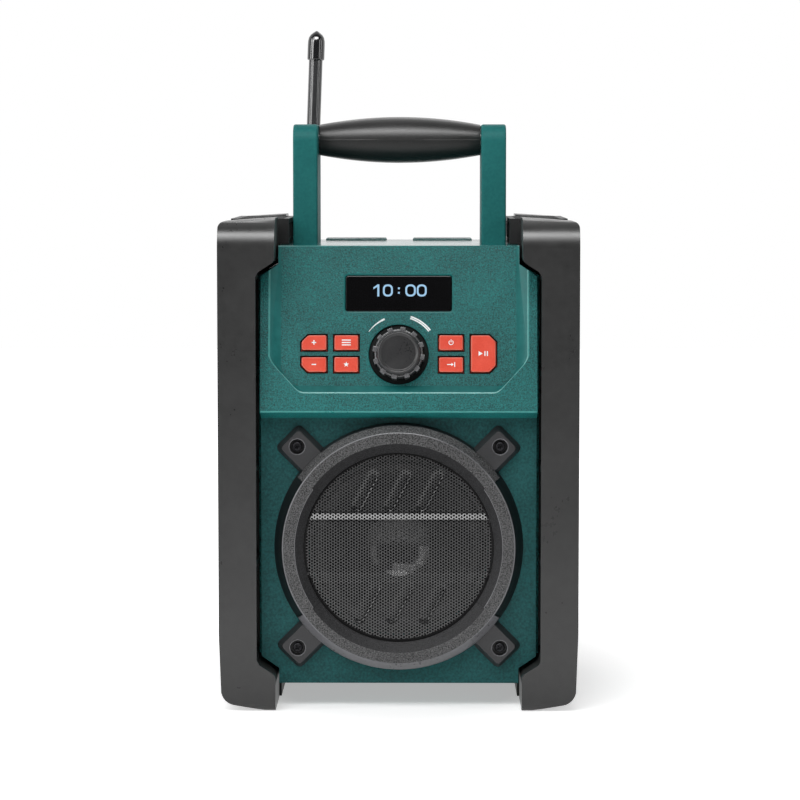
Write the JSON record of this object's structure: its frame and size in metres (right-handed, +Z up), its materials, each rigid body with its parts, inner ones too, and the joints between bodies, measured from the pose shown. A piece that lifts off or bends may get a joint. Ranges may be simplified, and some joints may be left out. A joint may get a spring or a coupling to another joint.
{
  "type": "jobsite radio",
  "caption": "Portable jobsite radio with a tilted keypad and display over a round speaker, side bumpers, a carrying handle and a folding rubber antenna.",
  "frame": {"origin": "on the standing surface, at the middle of the bumpers' footprint", "axes": "+X to the radio's right as seen from the front, +Y to its back, +Z up; the front faces -Y"},
  "size_m": [0.1924, 0.18, 0.37],
  "materials": {
    "housing_green": "spark-eroded moulded ABS",
    "bumper_black": "satin moulded",
    "ring_grey": "fine textured",
    "grip_rubber": "matt",
    "black_gloss": "gloss",
    "key_red": "satin silicone",
    "knob_black": "satin",
    "grille_steel": "black powder coat",
    "screw_black": "black oxide",
    "bright_steel": "plated",
    "seal_rubber": "soft",
    "cone_paper": "coated paper",
    "coil_copper": "enamelled wire",
    "spider_cloth": "resin-treated cloth",
    "ferrite": "sintered",
    "board_green": "solder mask",
    "component_dark": "moulded",
    "switch_ivory": "moulded",
    "heat_sink_alu": "extruded",
    "cell_jacket": "printed sleeve"
  },
  "bodies": {
    "root": {"front_housing": "housing_green", "rear_housing": "housing_green", "housing_seal": "seal_rubber", "case_screws": "screw_black", "front_bumper_left": "bumper_black", "front_bumper_right": "bumper_black", "rear_bumper_left": "bumper_black", "rear_bumper_right": "bumper_black", "side_frame_left": "bumper_black", "side_frame_right": "bumper_black", "bumper_screws": "screw_black", "handle_arm_left": "housing_green", "handle_arm_right": "housing_green", "handle_bar": "bright_steel", "handle_grip": "grip_rubber", "handle_screws": "screw_black", "speaker_ring": "ring_grey", "speaker_grille": "grille_steel", "ring_screws": "screw_black", "speaker_gasket": "seal_rubber", "speaker_basket": "grille_steel", "speaker_surround": "seal_rubber", "spider": "spider_cloth", "magnet": "ferrite", "magnet_plates": "bright_steel", "speaker_screws": "bright_steel", "display_lens": "black_gloss", "display_module": "board_green", "tact_switches": "switch_ivory", "control_board": "board_green", "board_screws": "bright_steel", "encoder_body": "component_dark", "encoder_nut": "bright_steel", "main_board": "board_green", "tuner_shield": "bright_steel", "heat_sink": "heat_sink_alu", "capacitors": "component_dark", "audio_socket": "component_dark", "dc_inlet": "component_dark", "battery_contacts": "bright_steel", "battery_cells": "cell_jacket", "antenna_base": "component_dark", "antenna_pin": "bright_steel"},
    "knob": {"volume_knob": "knob_black", "encoder_shaft": "bright_steel"},
    "cone": {"speaker_cone": "cone_paper", "dust_cap": "cone_paper", "voice_coil": "coil_copper"},
    "door": {"battery_door": "housing_green"},
    "flap": {"port_cover": "grip_rubber"},
    "antenna": {"antenna_rod": "grip_rubber", "antenna_cap": "black_gloss"},
    "key_tune_up": {"key_tune_up": "key_red"},
    "key_tune_down": {"key_tune_down": "key_red"},
    "key_menu": {"key_menu": "key_red"},
    "key_preset": {"key_preset": "key_red"},
    "key_power": {"key_power": "key_red"},
    "key_source": {"key_source": "key_red"},
    "key_play": {"key_play": "key_red"}
  },
  "joints": [
    {"name": "key_tune_up_press", "type": "slide", "parent": "root", "child": "key_tune_up", "axis": [0, 0.9848, -0.1736], "range_m": [0, 0.0005], "stiffness_N_per_m": 1500},
    {"name": "key_tune_down_press", "type": "slide", "parent": "root", "child": "key_tune_down", "axis": [0, 0.9848, -0.1736], "range_m": [0, 0.0005], "stiffness_N_per_m": 1500},
    {"name": "key_menu_press", "type": "slide", "parent": "root", "child": "key_menu", "axis": [0, 0.9848, -0.1736], "range_m": [0, 0.0005], "stiffness_N_per_m": 1500},
    {"name": "key_preset_press", "type": "slide", "parent": "root", "child": "key_preset", "axis": [0, 0.9848, -0.1736], "range_m": [0, 0.0005], "stiffness_N_per_m": 1500},
    {"name": "key_power_press", "type": "slide", "parent": "root", "child": "key_power", "axis": [0, 0.9848, -0.1736], "range_m": [0, 0.0005], "stiffness_N_per_m": 1500},
    {"name": "key_source_press", "type": "slide", "parent": "root", "child": "key_source", "axis": [0, 0.9848, -0.1736], "range_m": [0, 0.0005], "stiffness_N_per_m": 1500},
    {"name": "key_play_press", "type": "slide", "parent": "root", "child": "key_play", "axis": [0, 0.9848, -0.1736], "range_m": [0, 0.0005], "stiffness_N_per_m": 1500},
    {"name": "volume_turn", "type": "hinge", "parent": "root", "child": "knob", "pos_m": [0, -0.08155, 0.19162], "axis": [0, -0.9848, 0.1736], "continuous": true},
    {"name": "cone_stroke", "type": "slide", "parent": "root", "child": "cone", "axis": [0, -1, 0], "range_m": [-0.0015, 0.0015], "stiffness_N_per_m": 1500, "deforming": ["speaker_surround", "spider"]},
    {"name": "door_swing", "type": "hinge", "parent": "root", "child": "door", "pos_m": [0, 0.0649, 0.022], "axis": [-1, 0, 0], "range_deg": [0, 100]},
    {"name": "flap_swing", "type": "hinge", "parent": "root", "child": "flap", "pos_m": [0.032, 0.0606, 0.1846], "axis": [-1, 0, 0], "range_deg": [0, 100]},
    {"name": "antenna_fold", "type": "hinge", "parent": "root", "child": "antenna", "pos_m": [-0.055, 0.072, 0.205], "axis": [-1, 0, 0], "range_deg": [0, 90]}
  ]
}
